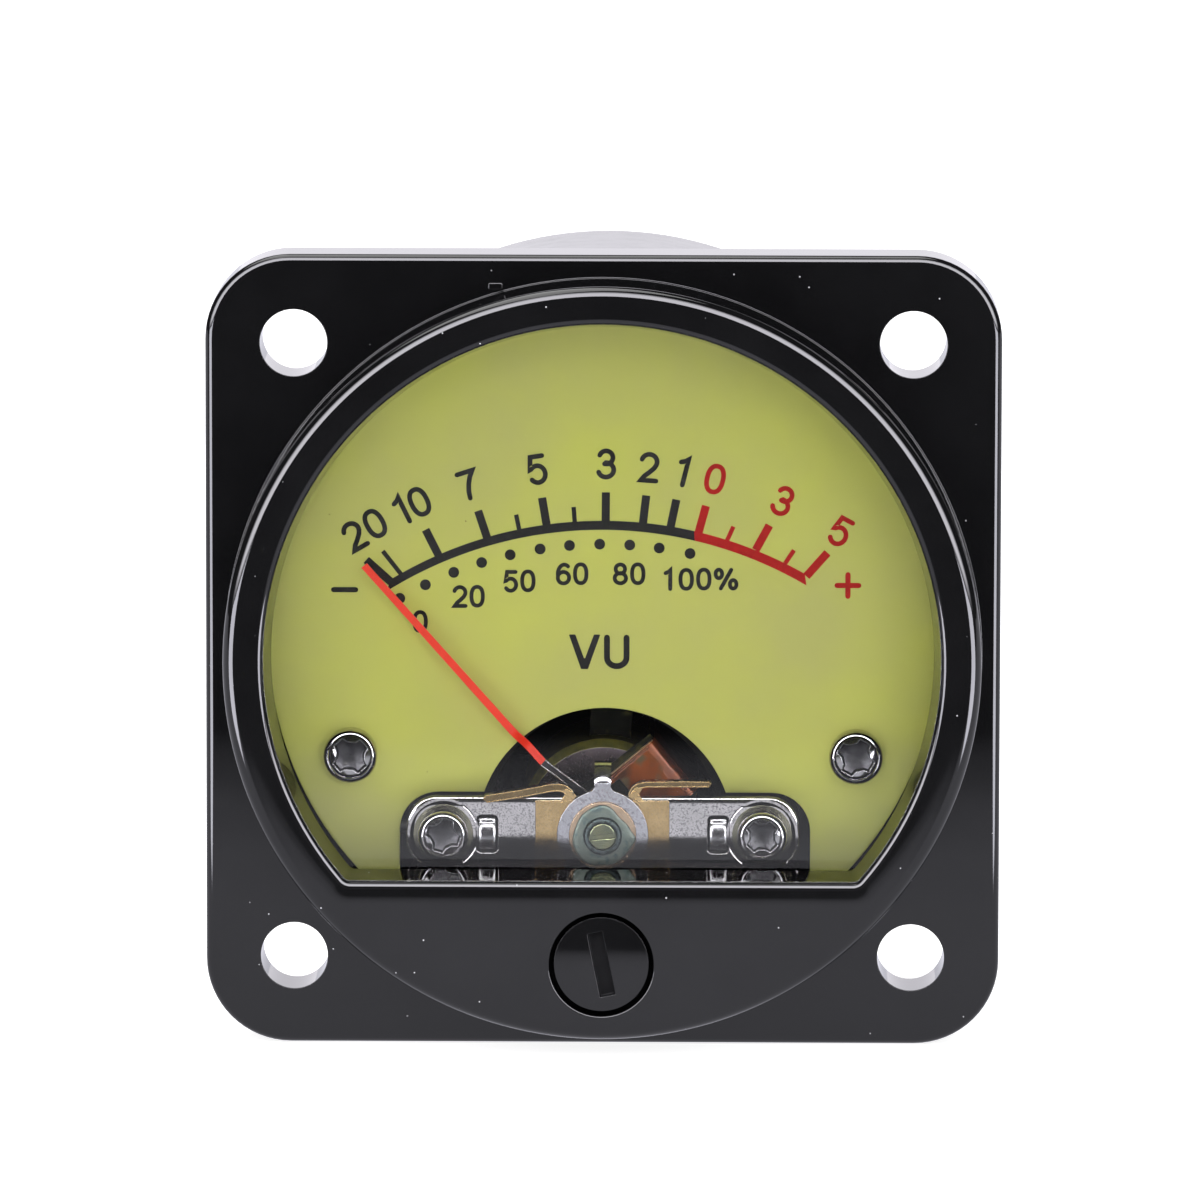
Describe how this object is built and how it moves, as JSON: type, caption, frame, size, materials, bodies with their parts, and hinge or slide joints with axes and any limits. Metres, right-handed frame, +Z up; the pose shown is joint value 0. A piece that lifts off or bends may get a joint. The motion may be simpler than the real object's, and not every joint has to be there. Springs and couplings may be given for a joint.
{
  "type": "vu meter",
  "caption": "Square-flanged round panel meter: clear window over an olive dial, red pointer on a sprung moving coil, slotted zero adjuster below it, round rear case with screw terminals.",
  "frame": {"origin": "centre of the flange's rear face, where it sits on the panel, on the axis of the round case", "axes": "+Z up, +X to the right as seen from the front, the dial faces -Y and the rear case runs along +Y"},
  "size_m": [0.045, 0.042, 0.045],
  "materials": {
    "black_plastic": "high-gloss moulded black",
    "clear_lens": "clear polished acrylic",
    "dial_print": "satin olive-yellow dial with black and red scale",
    "chassis_plastic": "moulded black phenolic",
    "nickel_plate": "pebbled nickel plate",
    "screw_steel": "zinc-plated steel",
    "soft_iron": "blackened soft iron",
    "magnet_alloy": "ground magnet alloy",
    "brass": "stamped brass",
    "copper": "enamelled copper",
    "aluminium": "bare aluminium",
    "pointer_red": "fluorescent red lacquer on aluminium",
    "jewel": "polished synthetic ruby",
    "board": "brown phenolic laminate",
    "component_body": "coated component body",
    "wire_cover": "flexible wire insulation"
  },
  "bodies": {
    "case": {"front_bezel": "black_plastic", "window_lens": "clear_lens", "rear_case": "black_plastic", "case_screws": "screw_steel", "dial_plate": "dial_print", "dial_screws": "screw_steel", "movement_frame": "chassis_plastic", "yoke_ring": "soft_iron", "core_magnet": "magnet_alloy", "core_spacers": "brass", "front_bridge": "nickel_plate", "front_pillars": "brass", "bridge_screws": "screw_steel", "rear_bridge": "nickel_plate", "rear_pillars": "brass", "rear_bridge_screws": "screw_steel", "contact_plate": "brass", "friction_washer": "copper", "front_lock_nut": "screw_steel", "front_jewel_screw": "brass", "front_jewel": "jewel", "rear_lock_nut": "screw_steel", "rear_jewel_screw": "brass", "rear_jewel": "jewel", "rear_spring_anchor": "brass", "rectifier_board": "board", "rectifier_diodes": "component_body", "series_resistor": "component_body", "coil_leads": "wire_cover", "stud_spacers": "brass", "terminal_studs": "brass", "terminal_washers": "brass", "inner_nuts": "brass", "solder_lugs": "nickel_plate", "outer_nuts": "brass"},
    "moving_coil": {"coil_bobbin": "aluminium", "coil_winding": "copper", "pointer_hub": "aluminium", "rear_hub": "aluminium", "front_pivot": "screw_steel", "rear_pivot": "screw_steel", "pointer": "pointer_red", "balance_tails": "aluminium", "balance_weights": "brass", "front_hairspring": "brass", "rear_hairspring": "brass"},
    "zero_adjuster": {"zero_adjuster": "black_plastic", "adjuster_clip": "screw_steel"},
    "zero_lever": {"zero_lever": "nickel_plate"}
  },
  "joints": [
    {"name": "pointer_swing", "type": "hinge", "parent": "case", "child": "moving_coil", "pos_m": [0, 0, -0.0106], "axis": [0, 1, 0], "range_deg": [0, 82], "stiffness_Nm_per_rad": 0.00001, "deforming": ["front_hairspring", "rear_hairspring"]},
    {"name": "zero_adjuster_turn", "type": "hinge", "parent": "case", "child": "zero_adjuster", "pos_m": [0, -0.006, -0.0172], "axis": [0, 1, 0], "range_deg": [-30, 30]},
    {"name": "zero_lever_turn", "type": "hinge", "parent": "case", "child": "zero_lever", "pos_m": [0, -0.0038, -0.0106], "axis": [0, 1, 0], "range_deg": [-6, 6]}
  ],
  "couplings": [
    {"joint": "zero_lever_turn", "follows": "zero_adjuster_turn", "ratio": -0.169}
  ]
}
